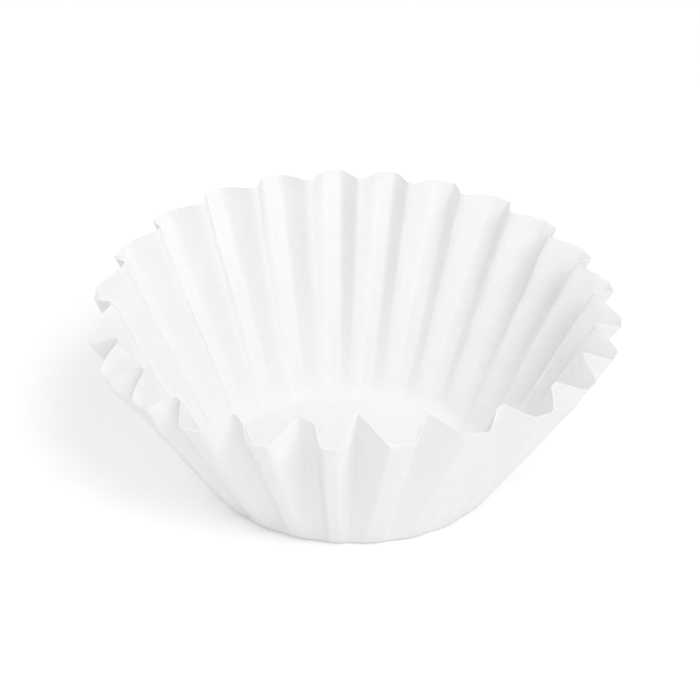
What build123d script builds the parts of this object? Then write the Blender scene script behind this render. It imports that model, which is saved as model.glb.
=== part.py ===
from build123d import *
import math
import os

# Fluted basket-style coffee filter: one round sheet of paper, pressed into a flat-bottomed cup.
# Millimetres and degrees. The origin is the centre of the base's underside, +Z is up, and bearings run
# anticlockwise from +X, seen from above. The front, nearest to the viewer, is at bearing -90.

# The round sheet before it was pressed
sheet_diameter = 216.0
paper_thickness = 0.2
sheet_shift = 12.0  # the sheet lay off centre under the press, so its edge stands higher at the back

# The flat base that the press leaves in the middle of the sheet, pulled a little oval by hand
base_diameter = 79.5
base_oval = 3.2

# The rim as it was opened by hand: a little oval, and leaning to the front left
rim_diameter = 135.5
rim_oval = 6.0
rim_lean = 1.7
rim_lean_bearing = -150.0
oval_bearing = 8.5

# The flutes: relative width of each one, clockwise from the front, the depth of a middling one, and the
# shares of its width at the rim that its flat crest and the flat bottom of its valley take
first_crest_bearing = -80.0
flute_widths = (16, 15, 16.5, 14, 13, 12.5, 14, 15, 15, 15.5, 16, 17.5,
                15, 16, 15.5, 14.5, 13, 12, 12.5, 12.5, 13.5, 16.5, 18, 20.5)
flute_depth = 8.0
crest_land = 0.38
valley_land = 0.18
base_flute_depth = 1.8

# Lengths and angles that follow from those
base_radius = base_diameter / 2
rim_mean_radius = rim_diameter / 2
slant = (sheet_diameter - base_diameter) / 2
mean_width = sum(flute_widths) / len(flute_widths)
degrees_per_width = 360 / sum(flute_widths)
trim_allowance = slant / 10  # the wall is lofted this far past the sheet's reach, and its edge is then cut

# At the base the flanks are narrower, so that each one is flat from the base to the rim
flank = (1 - crest_land - valley_land) / 2
base_flank = flank * base_flute_depth / flute_depth * rim_mean_radius / base_radius
land_growth = (1 - 2 * base_flank) / (crest_land + valley_land)
base_crest_land = crest_land * land_growth
base_valley_land = valley_land * land_growth


def oval_share(bearing):
    """How far a bearing lies along the oval's long axis: +1 on it, -1 square to it."""
    return math.cos(math.radians(2 * (bearing - oval_bearing)))


def base_edge(bearing):
    """Mean radius of the base's edge, half way between crests and valleys."""
    return base_radius + base_oval * oval_share(bearing)


def rim_radius(bearing):
    """Mean radius of the cut rim, half way between crests and valleys."""
    lean = rim_lean * math.cos(math.radians(bearing - rim_lean_bearing))
    return rim_mean_radius + lean + rim_oval * oval_share(bearing)


def rim_height(bearing):
    """Height of the cut rim: one slant length away from the base's edge, as the sheet lay under the press."""
    place = Vector(rim_radius(bearing), 0, 0).rotate(Axis.Z, bearing)
    beyond = (place - Vector(0, sheet_shift, 0)).length - base_radius
    return math.sqrt(slant**2 - beyond**2)


def crease_point(base_bearing, rim_bearing, width, side, level):
    """Point where a crease crosses a level: side +1 is beside a crest's land, -1 is beside a valley's.

    Every crease is straight, from the base's edge to the rim and on above it. Wide flutes are shallower
    than narrow ones, because each holds the same length of paper.
    """
    half = side * mean_width / width / 2
    start = Vector(base_edge(base_bearing) + half * base_flute_depth, 0, 0)
    end = Vector(rim_radius(rim_bearing) + half * flute_depth, 0, rim_height(rim_bearing))
    start = start.rotate(Axis.Z, base_bearing)
    end = end.rotate(Axis.Z, rim_bearing)
    return start + (end - start) * (level / end.Z)


def flute_creases(level):
    """The four creases of every flute at one level, clockwise: out of its crest, round its valley, up again."""
    bearing = first_crest_bearing
    points = []
    for index, width in enumerate(flute_widths):
        crest_widths = (flute_widths[index - 1] + width, width + flute_widths[index + 1 - len(flute_widths)])
        turn = width * degrees_per_width
        middle = bearing - turn / 2
        base_crest = turn * (1 - base_crest_land) / 2
        rim_crest = turn * (1 - crest_land) / 2
        base_valley = turn * base_valley_land / 2
        rim_valley = turn * valley_land / 2
        points += [
            crease_point(middle + base_crest, middle + rim_crest, crest_widths[0] / 2, 1, level),
            crease_point(middle + base_valley, middle + rim_valley, width, -1, level),
            crease_point(middle - base_valley, middle - rim_valley, width, -1, level),
            crease_point(middle - base_crest, middle - rim_crest, crest_widths[1] / 2, 1, level),
        ]
        bearing -= turn
    return points


def inset_corner(before, corner, after, inset):
    """A corner of a clockwise outline, moved in so that both of its sides move in by the inset."""
    inward_before = (corner - before).normalized().rotate(Axis.Z, -90)
    inward_after = (after - corner).normalized().rotate(Axis.Z, -90)
    return corner + (inward_before + inward_after) * (inset / (1 + inward_before.dot(inward_after)))


def wall_corners(level, inset):
    """Corners of the fluted wall at one level, moved in from the outer surface by the inset."""
    points = flute_creases(level)
    following = points[1:] + points[:1]
    return [inset_corner(points[i - 1], points[i], following[i], inset) for i in range(len(points))]


def fluted_body(bottom, top, inset):
    """Solid inside the wall's surface, between two levels, bounded by flat panels from crease to crease.

    A panel whose creases are a little skew bends along its diagonal, as paper does.
    """
    low = wall_corners(bottom, inset)
    high = wall_corners(top, inset)
    outlines = [low, high]
    for i in range(len(low)):
        outlines.append([low[i - 1], low[i], high[i]])
        outlines.append([low[i - 1], high[i], high[i - 1]])
    panels = [Face(Wire.make_polygon(outline)) for outline in outlines]
    return Solid(Shell(panels))


def sheet_reach():
    """Space that the sheet reaches: up to one slant length away from the base's edge, all round."""
    middle = math.sqrt(slant**2 - base_radius**2)
    widest = base_radius + slant
    lowest = -paper_thickness
    edge = CenterArc((base_radius, 0), slant, 0, 180 - math.degrees(math.acos(base_radius / slant)))
    outline = [
        Line((0, middle), (0, lowest)),
        Line((0, lowest), (widest, lowest)),
        Line((widest, lowest), (widest, 0)),
        edge,
    ]
    half = Plane.XZ * make_face(outline)
    return Pos(0, sheet_shift, 0) * revolve(half, Axis.Z)


loft_top = slant + trim_allowance
level_thickness = paper_thickness * slant / math.sqrt(slant**2 - (rim_mean_radius - base_radius) ** 2)

outside = fluted_body(0, loft_top, 0)
inside = fluted_body(paper_thickness, loft_top, level_thickness)
filter_paper = (outside - inside) & sheet_reach()

os.makedirs("parts", exist_ok=True)
export_step(filter_paper, "parts/filter_paper.step")
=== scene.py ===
# %% [markdown]
# # A fluted paper coffee filter
# One round sheet of white filter paper, pressed into a flat-bottomed cup and opened by hand. The packed
# model gives its frame: its size, its place and the floor that it stands on. This lesson lays a fine sheet
# over that frame, finishes it as filter paper, and lights it like a small product in a white studio.

import bpy
import numpy as np
from mathutils import Matrix, Vector


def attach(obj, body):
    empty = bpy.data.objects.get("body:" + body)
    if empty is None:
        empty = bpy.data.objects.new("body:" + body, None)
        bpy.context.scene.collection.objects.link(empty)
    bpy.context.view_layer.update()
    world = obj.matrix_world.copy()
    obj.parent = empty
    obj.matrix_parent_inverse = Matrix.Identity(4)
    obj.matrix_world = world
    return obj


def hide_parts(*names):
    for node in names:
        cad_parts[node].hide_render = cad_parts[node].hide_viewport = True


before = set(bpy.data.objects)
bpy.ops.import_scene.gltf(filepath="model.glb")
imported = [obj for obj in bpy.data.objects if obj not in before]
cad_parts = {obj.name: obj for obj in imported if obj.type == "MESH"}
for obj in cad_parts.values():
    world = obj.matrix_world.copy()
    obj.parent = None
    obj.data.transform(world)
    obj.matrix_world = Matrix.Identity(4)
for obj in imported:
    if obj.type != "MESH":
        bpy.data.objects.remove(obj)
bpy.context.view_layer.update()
mm = 0.001

# %% [markdown]
# ## The sizes of the sheet
# A filter is cut as a disc, so one diameter sets how much paper there is. The press leaves a flat base in
# the middle and gathers the rest into flutes. Nothing else is free: the wall's length up the slope is what
# is left of the disc's radius, and the rim lies where that length runs out.

# %% Sizes
sheet_diameter = 216 * mm
paper_thickness = 0.2 * mm
sheet_shift = np.array([0.0, 12.0]) * mm  # the disc lay off centre under the press, a little to the back
base_radius = 39.75 * mm
base_oval = 3.2 * mm
base_bend = 3.2 * mm
base_bend_swing = 2.0 * mm  # the press bends the paper tightly at the front and loosely at the back
rim_radius = 67.75 * mm
rim_oval = 6.0 * mm
rim_lean = 1.7 * mm
rim_lean_bearing = -150
oval_bearing = 8.5
slant = sheet_diameter / 2 - base_radius
print(f"wall length up the slope: {slant / mm:.1f} mm")

# %% [markdown]
# ## The flutes
# Each flute runs from one crest to the next, clockwise from the front. Hands have opened the cup, so the
# flutes are not equal: the front ones are pulled wide, the ones at the left and right are pushed together.
# Seen from above a flute is not a zigzag. Its crest is a land, its valley is a narrower land, and steep
# flanks join them at four creases. Four flutes at the front are pulled out of true as well: their creases
# lie off their usual places, and their valleys are deeper and lean to one side.

# %% Flutes
first_crest_bearing = -80
flute_widths = np.array([16, 15, 16.5, 14, 13, 12.5, 14, 15, 15, 15.5, 16, 17.5,
                         15, 16, 15.5, 14.5, 13, 12, 12.5, 12.5, 13.5, 16.5, 18, 20.5])
flute_count = len(flute_widths)
front_flutes = [23, 0, 1, 2]  # the ones pulled out of true, from the right to the left
crease_places = np.tile([0.15, 0.44, 0.57, 0.84], (flute_count, 1))  # shares of a flute's width
crease_places[front_flutes] = [
    [0.15, 0.36, 0.56, 0.76],
    [0.08, 0.36, 0.58, 0.80],
    [0.08, 0.24, 0.56, 0.86],
    [0.16, 0.34, 0.54, 0.84],
]
valley_depths = np.ones(flute_count)
valley_depths[front_flutes] = 1.20, 1.20, 1.15, 1.0
valley_leans = np.zeros(flute_count)
valley_leans[front_flutes] = 0.28, 0.20, 0.12, 0.15
flute_depth = 8.2 * mm
depth_growth = 0.79  # the flutes deepen as this power of the way up the wall
depth_growth_swing = 0.09  # the power is higher by this at the back, and lower by it at the front
crest_bend = 0.05  # half width of the bend at a crease, as a share of the flute's width
valley_bend = 0.035
flute_turns = np.radians(flute_widths * 360 / flute_widths.sum())
crest_bearings = np.radians(first_crest_bearing) - np.concatenate([[0], np.cumsum(flute_turns)[:-1]])
narrowest, widest = np.degrees([flute_turns.min(), flute_turns.max()])
print(f"{flute_count} flutes, {narrowest:.1f} to {widest:.1f} degrees wide")

# %% [markdown]
# ## Crinkles
# Handled paper is never quite flat: it has shallow dents a finger wide, and where it was gripped, at the
# front left, its edge is crumpled. A noise texture would only shade such dents, so they are made in the
# surface. A sum of waves that cross the flat disc in all directions gives them, from a fixed seed, and it
# has no seam because it is written on the disc and not round the cup.

# %% Crinkles
crinkle_depth = 0.10 * mm
crumple_share = 2.5  # the dents are deeper by this share at the crumpled edge
crumple_bearing = -158
crumple_half_width = 26
wave_count = 14
shortest_wave = 9 * mm
longest_wave = 34 * mm
dent_seed = 11
dice = np.random.default_rng(dent_seed)
wave_lengths = np.geomspace(shortest_wave, longest_wave, wave_count)
wave_ways = dice.uniform(0, np.pi, wave_count)
wave_phases = dice.uniform(0, 2 * np.pi, wave_count)


def crinkle(x, y):
    """Sum of sine waves over the flat disc; each wave's height grows with the root of its length."""
    x = np.asarray(x)[..., None]
    y = np.asarray(y)[..., None]
    phase = 2 * np.pi * (x * np.cos(wave_ways) + y * np.sin(wave_ways)) / wave_lengths + wave_phases
    heights = crinkle_depth * np.sqrt(wave_lengths / longest_wave)
    return (heights * np.sin(phase)).sum(-1)


def crumple(bearing):
    """1 where the edge was gripped, falling to 0 on both sides as a bell curve."""
    away = np.angle(np.exp(1j * (bearing - np.radians(crumple_bearing))), deg=True)
    return np.exp(-((away / crumple_half_width) ** 2))


print(f"{wave_count} waves, {shortest_wave / mm:.0f} to {longest_wave / mm:.0f} mm long")

# %% [markdown]
# ## One sheet as a function of two parameters
# The first parameter goes round, in flutes; the second goes out along the paper, from the middle of the
# base, over the bend and up the wall. The wall's section is a trapezium with soft corners, and the flutes
# grow out of the base as the paper has more and more length to lose. A cloth simulation could press a disc
# into such a cup, but it would not put each fold where this cup has it; a formula does.

# %% The sheet's formula
def soft_ramp(x, bend):
    """Zero below, x above, and a parabola between -bend and +bend that joins them without a corner."""
    x = np.asarray(x, float)
    middle = (x + bend) ** 2 / (4 * bend)
    return np.where(x < -bend, 0.0, np.where(x > bend, x, middle))


def flute_wave(turn):
    """Section of the flutes: +1 on a crest's land, -1 on a valley's land, straight flanks with soft bends.

    It is level, falls down one flank, crosses the valley, climbs the other flank and is level again. At
    each of the four creases the slope changes, and a soft ramp is added for that change. A leaning valley
    starts less deep and ends deeper by the same share.
    """
    flute = np.floor(turn).astype(int) % flute_count
    across = turn - np.floor(turn)
    out, foot, heel, back = np.moveaxis(crease_places[flute], -1, 0)
    lean = valley_leans[flute]
    fall = (1 - lean) / (foot - out)
    cross = 2 * lean / (heel - foot)
    climb = -(1 + lean) / (back - heel)
    depth = fall * soft_ramp(across - out, crest_bend)
    depth = depth + (cross - fall) * soft_ramp(across - foot, valley_bend)
    depth = depth + (climb - cross) * soft_ramp(across - heel, valley_bend)
    depth = depth - climb * soft_ramp(across - back, crest_bend)
    return 1 - 2 * valley_depths[flute] * depth


def bearing_at(turn):
    """Bearing in radians of a place on the sheet: the flute's crest, less its share of the flute's turn."""
    flute = np.floor(turn).astype(int) % flute_count
    return crest_bearings[flute] - (turn - np.floor(turn)) * flute_turns[flute]


def width_at(turn):
    """Width of the flutes near a place, against the mean: the two flutes share it at their crest."""
    relative = flute_turns / flute_turns.mean()
    middles = np.arange(-1, flute_count + 1) + 0.5
    return np.interp(turn, middles, np.concatenate([relative[-1:], relative, relative[:1]]))


def oval_share(bearing):
    """+1 along the oval's long axis, -1 square to it."""
    return np.cos(2 * (bearing - np.radians(oval_bearing)))


def bend_at(bearing):
    """Half length of the soft bend at the base's edge: short at the front, long at the back."""
    return base_bend + base_bend_swing * np.sin(bearing)


def flat_place(turn, along):
    """Where a place of the paper lay on the flat disc: at its bearing, and past the base by the way out."""
    bearing = bearing_at(turn)
    radius = base_radius + base_oval * oval_share(bearing) + along
    return radius * np.cos(bearing), radius * np.sin(bearing)


def edge_height(x, y):
    """Height of the cut edge over a place: one wall length away from the edge of the disc's own base."""
    beyond = np.hypot(x - sheet_shift[0], y - sheet_shift[1]) - base_radius
    return np.sqrt(slant**2 - beyond**2)


def wall_point(turn, along):
    """Place of the paper "along" metres out from the base's edge: negative on the base, positive on the wall.

    The profile is flat, then straight up the slope, joined by a soft bend. The flutes' depth grows as a
    power of the way up, a higher power at the back; wide flutes are shallower because they hold the same
    paper. The crinkles push the wall in and out, and more so where it was crumpled, towards the rim.
    """
    bearing = bearing_at(turn)
    edge = base_radius + base_oval * oval_share(bearing)
    lean = rim_lean * np.cos(bearing - np.radians(rim_lean_bearing))
    rim = rim_radius + lean + rim_oval * oval_share(bearing)
    top = edge_height(rim * np.cos(bearing), rim * np.sin(bearing))
    length = np.hypot(rim - edge, top)
    climbed = soft_ramp(along, bend_at(bearing))
    share = climbed / length
    depth = flute_depth / width_at(turn) * share ** (depth_growth + depth_growth_swing * np.sin(bearing))
    dents = crinkle(*flat_place(turn, along)) * share * (1 + crumple_share * crumple(bearing) * share**2)
    radius = edge + along + ((rim - edge) / length - 1) * climbed + flute_wave(turn) * depth / 2 + dents
    return radius * np.cos(bearing), radius * np.sin(bearing), top / length * climbed


shortest_way = 0.6 * slant  # the cut edge lies between these two ways out from the base's edge
longest_way = 1.5 * slant
halvings = 40


def cut_edge(turn):
    """How far out the sheet's cut edge lies, found by halving: where the disc's own radius runs out."""
    low = np.full_like(turn, shortest_way)
    high = np.full_like(turn, longest_way)
    for _ in range(halvings):
        middle = (low + high) / 2
        x, y, z = wall_point(turn, middle)
        inside = z < edge_height(x, y)
        low = np.where(inside, middle, low)
        high = np.where(inside, high, middle)
    return (low + high) / 2


rim_along = cut_edge(np.arange(flute_count, dtype=float))
print(f"paper from base to rim, at the crests: {rim_along.min() / mm:.1f} to {rim_along.max() / mm:.1f} mm")

# %% [markdown]
# ## The mesh
# The grid has many columns to each flute, because the bends are tight, and its rows are closer together at
# the base, where the flutes begin. A fan of triangles closes the middle of the base. The grid's own place
# on the flat disc goes into a UV map, so that the paper's grain later runs through the folds as it does in
# real paper, which was made flat.

# %% Make the sheet's mesh
flute_steps = 36
base_rows = 7
wall_rows = 46
row_crowding = 1.25  # above 1, the rows are closer together near the base
columns = flute_count * flute_steps
turn = np.arange(columns) / flute_steps
edge_radius = base_radius + base_oval * oval_share(bearing_at(turn))
edge_along = cut_edge(turn)
bend = bend_at(bearing_at(turn))
base_share = np.linspace(0, 1, base_rows + 1)[1:-1, None]
base_along = base_share * (edge_radius - bend) - edge_radius
wall_share = np.linspace(0, 1, wall_rows)[:, None] ** row_crowding
wall_along = wall_share * (edge_along + bend) - bend
along = np.concatenate([base_along, wall_along])
rows = len(along)
x, y, z = wall_point(turn[None], along)
points = np.concatenate([[[0.0, 0.0, 0.0]], np.stack([x, y, z], -1).reshape(-1, 3)])
row, column = np.meshgrid(np.arange(rows - 1), np.arange(columns), indexing="ij")
following = (column + 1) % columns
lower = 1 + row * columns
upper = lower + columns
quads = np.stack([lower + following, lower + column, upper + column, upper + following], -1)
spokes = np.arange(columns)
fan = np.stack([np.zeros(columns, int), 1 + spokes, 1 + (spokes + 1) % columns], -1)
mesh = bpy.data.meshes.new("filter_sheet")
mesh.from_pydata(points.tolist(), [], quads.reshape(-1, 4).tolist() + fan.tolist())
mesh.shade_smooth()
sheet = bpy.data.objects.new("filter_sheet", mesh)
bpy.context.scene.collection.objects.link(sheet)
print(f"sheet: {len(mesh.vertices)} points, {len(mesh.polygons)} faces")

# %% Keep each point's place on the flat disc as a UV map
flat_x, flat_y = flat_place(turn[None], along)
flat_points = np.concatenate([[[0.0, 0.0]], np.stack([flat_x, flat_y], -1).reshape(-1, 2)])
flat = flat_points / sheet_diameter + 0.5
flat_map = mesh.uv_layers.new(name="flat_sheet")
loop_points = np.empty(len(mesh.loops), dtype=np.int32)
mesh.loops.foreach_get("vertex_index", loop_points)
flat_map.uv.foreach_set("vector", flat[loop_points].astype(np.float32).ravel())
print("flat map:", flat.min(0).round(2), "to", flat.max(0).round(2))

# %% [markdown]
# ## The paper's thickness
# Filter paper is about a fifth of a millimetre thick, and its edge is cut, not rolled. A Solidify modifier
# gives the sheet that thickness on its inner side. The cut is marked sharp first: smooth shading would
# otherwise bend round it and draw a bright line along the whole rim.

# %% Give it the paper's thickness
edge_ends = np.empty(2 * len(mesh.edges), dtype=np.int32)
mesh.edges.foreach_get("vertices", edge_ends)
on_rim = (edge_ends.reshape(-1, 2) > (rows - 1) * columns).all(1)
mesh.attributes.new("sharp_edge", "BOOLEAN", "EDGE").data.foreach_set("value", on_rim)
wall = sheet.modifiers.new("paper thickness", "SOLIDIFY")
wall.thickness = paper_thickness
wall.offset = -1
print(f"{on_rim.sum()} edges along the cut, paper {wall.thickness / mm:.1f} mm thick")

# %% [markdown]
# ## Filter paper
# Bleached filter paper is white, matt and a little see-through: light that falls on one side shows softly
# on the other, which keeps the shaded folds pale. Its fibres lie in faint clouds, so its tone is not quite
# even, and its surface has a fine crepe. The clouds and the crepe are one node group, which reads the map of
# the flat disc; light that passes through the paper is the shader's own subsurface.

# %% Fibre group
fibres = bpy.data.node_groups.new("paper fibres", "ShaderNodeTree")
for name, kind in (("Thin Colour", "NodeSocketColor"), ("Thick Colour", "NodeSocketColor")):
    fibres.interface.new_socket(name, in_out="INPUT", socket_type=kind)
for name, kind in (("Colour", "NodeSocketColor"), ("Height", "NodeSocketFloat")):
    fibres.interface.new_socket(name, in_out="OUTPUT", socket_type=kind)
inlet = fibres.nodes.new("NodeGroupInput")
outlet = fibres.nodes.new("NodeGroupOutput")
disc = fibres.nodes.new("ShaderNodeUVMap")
disc.uv_map = "flat_sheet"


def fibre_noise(grain, stretch):
    """Noise on the flat disc: grain is the size of a spot, stretch how much longer it is one way."""
    squeeze = fibres.nodes.new("ShaderNodeMapping")
    squeeze.inputs["Scale"].default_value = (1 / stretch, 1, 1)
    noise = fibres.nodes.new("ShaderNodeTexNoise")
    noise.inputs["Scale"].default_value = sheet_diameter / grain
    noise.inputs["Detail"].default_value = 3
    fibres.links.new(disc.outputs["UV"], squeeze.inputs["Vector"])
    fibres.links.new(squeeze.outputs["Vector"], noise.inputs["Vector"])
    return noise.outputs["Fac"]


clouds = fibre_noise(grain=2.2 * mm, stretch=1.0)
crepe = fibre_noise(grain=0.8 * mm, stretch=2.5)
tone = fibres.nodes.new("ShaderNodeMix")  # its colour sockets are reached by number: 6 and 7 in, 2 out
tone.data_type = "RGBA"
fibres.links.new(clouds, tone.inputs["Factor"])
fibres.links.new(inlet.outputs["Thin Colour"], tone.inputs[6])
fibres.links.new(inlet.outputs["Thick Colour"], tone.inputs[7])
fibres.links.new(tone.outputs[2], outlet.inputs["Colour"])
fibres.links.new(crepe, outlet.inputs["Height"])
print("fibre group:", [node.bl_idname for node in fibres.nodes])

# %% Paper material
paper = bpy.data.materials.new("white_filter_paper")
paper.use_nodes = True
shader = paper.node_tree.nodes["Principled BSDF"]
shader.inputs["Roughness"].default_value = 0.9
shader.inputs["Specular IOR Level"].default_value = 0.2
shader.inputs["Subsurface Weight"].default_value = 0.45
shader.inputs["Subsurface Radius"].default_value = (1.0, 1.0, 1.0)
shader.inputs["Subsurface Scale"].default_value = 0.2 * mm
grain = paper.node_tree.nodes.new("ShaderNodeGroup")
grain.node_tree = fibres
grain.inputs["Thin Colour"].default_value = (0.885, 0.885, 0.885, 1)
grain.inputs["Thick Colour"].default_value = (0.925, 0.925, 0.925, 1)
relief = paper.node_tree.nodes.new("ShaderNodeBump")
relief.inputs["Strength"].default_value = 0.5
relief.inputs["Distance"].default_value = 0.03 * mm
paper.node_tree.links.new(grain.outputs["Colour"], shader.inputs["Base Color"])
paper.node_tree.links.new(grain.outputs["Height"], relief.inputs["Height"])
paper.node_tree.links.new(relief.outputs["Normal"], shader.inputs["Normal"])
mesh.materials.append(paper)
print("material:", paper.name)

# %% Tie the sheet to the frame
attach(sheet, "root")
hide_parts("filter_paper")

# %% [markdown]
# ## The floor
# The cup stands on white board that runs out of the picture. The board is matt and almost white. A little
# glow, which only the camera and reflections see, lifts it to pure white, and the cup's shadow stays on it.

# %% Floor
floor_size = 3.0
floor_gap = 0.05 * mm  # keeps the board clear of the paper's underside
floor_white = 0.90
floor_glow = 0.22
floor_mesh = bpy.data.meshes.new("studio_floor")
half = floor_size / 2
floor_corners = [(-half, -half, 0), (half, -half, 0), (half, half, 0), (-half, half, 0)]
floor_mesh.from_pydata(floor_corners, [], [(0, 1, 2, 3)])
floor = bpy.data.objects.new("studio_floor", floor_mesh)
floor.location.z = -floor_gap
bpy.context.scene.collection.objects.link(floor)
floor_paint = bpy.data.materials.new("white_floor")
floor_paint.use_nodes = True
nodes = floor_paint.node_tree.nodes
links = floor_paint.node_tree.links
ground = nodes["Principled BSDF"]
ground.inputs["Base Color"].default_value = (floor_white, floor_white, floor_white, 1)
ground.inputs["Roughness"].default_value = 0.9
ground.inputs["Emission Color"].default_value = (1, 1, 1, 1)
path = nodes.new("ShaderNodeLightPath")
glow = nodes.new("ShaderNodeMath")
glow.operation = "MULTIPLY"
glow.inputs[1].default_value = floor_glow
seen = path.outputs["Is Camera Ray"]
for ray in ("Is Glossy Ray", "Is Transmission Ray"):
    both = nodes.new("ShaderNodeMath")
    both.operation = "ADD"
    links.new(seen, both.inputs[0])
    links.new(path.outputs[ray], both.inputs[1])
    seen = both.outputs[0]
links.new(seen, glow.inputs[0])
links.new(glow.outputs[0], ground.inputs["Emission Strength"])
floor_mesh.materials.append(floor_paint)
print("floor:", floor_size, "m")

# %% [markdown]
# ## Light
# The picture was taken in a white tent: light comes from everywhere, so the paper is nearly shadowless. One
# large soft box, the key, stands high at the front right. It gives the flutes their dark sides and the floor
# its soft shadow. Three weak ones help it: two at the front keep the outside pale, and one behind the cup, at
# the left, reaches the inside of the right wall. A lamp's power falls with the square of its distance, so the
# helper below takes the brightness that a white card would show instead, and works the power out.

# %% Light
fill_level = 0.58
lamp_distance = 1.2
lamp_aim = Vector((0, 0, 30)) * mm
world = bpy.data.worlds.new("studio")
world.use_nodes = True
world.node_tree.nodes["Background"].inputs["Color"].default_value = (1, 1, 1, 1)
world.node_tree.nodes["Background"].inputs["Strength"].default_value = fill_level
bpy.context.scene.world = world


def soft_box(name, bearing, elevation, size, level):
    """A square lamp aimed at the cup's middle. A white card that faces it shows "level", where 1 is white."""
    data = bpy.data.lights.new(name, "AREA")
    data.shape = "SQUARE"
    data.size = size
    data.energy = level * np.pi**2 * lamp_distance**2
    swing, rise = np.radians([bearing, elevation])
    way = Vector((np.cos(swing) * np.cos(rise), np.sin(swing) * np.cos(rise), np.sin(rise)))
    box = bpy.data.objects.new(name, data)
    box.location = lamp_aim + lamp_distance * way
    box.rotation_euler = way.to_track_quat("Z", "Y").to_euler()
    bpy.context.scene.collection.objects.link(box)
    return box


boxes = [
    soft_box("key", bearing=-50, elevation=55, size=0.6, level=0.41),
    soft_box("low front", bearing=-70, elevation=14, size=0.6, level=0.08),
    soft_box("front left", bearing=-125, elevation=30, size=0.6, level=0.03),
    soft_box("back left", bearing=165, elevation=40, size=0.9, level=0.14),
]
print("lamps:", {box.name: round(box.data.energy, 2) for box in boxes})

# %% [markdown]
# ## The camera
# The cup was photographed from the front and well above, through a long lens, with the camera tipped a
# little. The lens is given in pixels of the picture, so that the sensor's width turns it into millimetres.

# %% Camera
view_distance = 602 * mm
view_elevation = np.radians(36.0)
view_roll = np.radians(3.3)
lens_pixels = 2014
image_pixels = 700
sensor_width = 36  # millimetres, as a lens is given
look_at = Vector((-2.4, 0, 43.1)) * mm
axis_point = Vector((0, 0, 23)) * mm
eye = axis_point + view_distance * Vector((0, -np.cos(view_elevation), np.sin(view_elevation)))
camera_data = bpy.data.cameras.new("camera")
camera_data.sensor_width = sensor_width
camera_data.lens = sensor_width * lens_pixels / image_pixels
camera = bpy.data.objects.new("camera", camera_data)
turned = (look_at - eye).to_track_quat("-Z", "Y").to_matrix().to_4x4()
camera.matrix_world = Matrix.Translation(eye) @ turned @ Matrix.Rotation(view_roll, 4, "Z")
bpy.context.scene.collection.objects.link(camera)
bpy.context.scene.camera = camera
bpy.context.scene.view_settings.view_transform = "Standard"
print(f"camera: lens {camera_data.lens:.1f} mm")
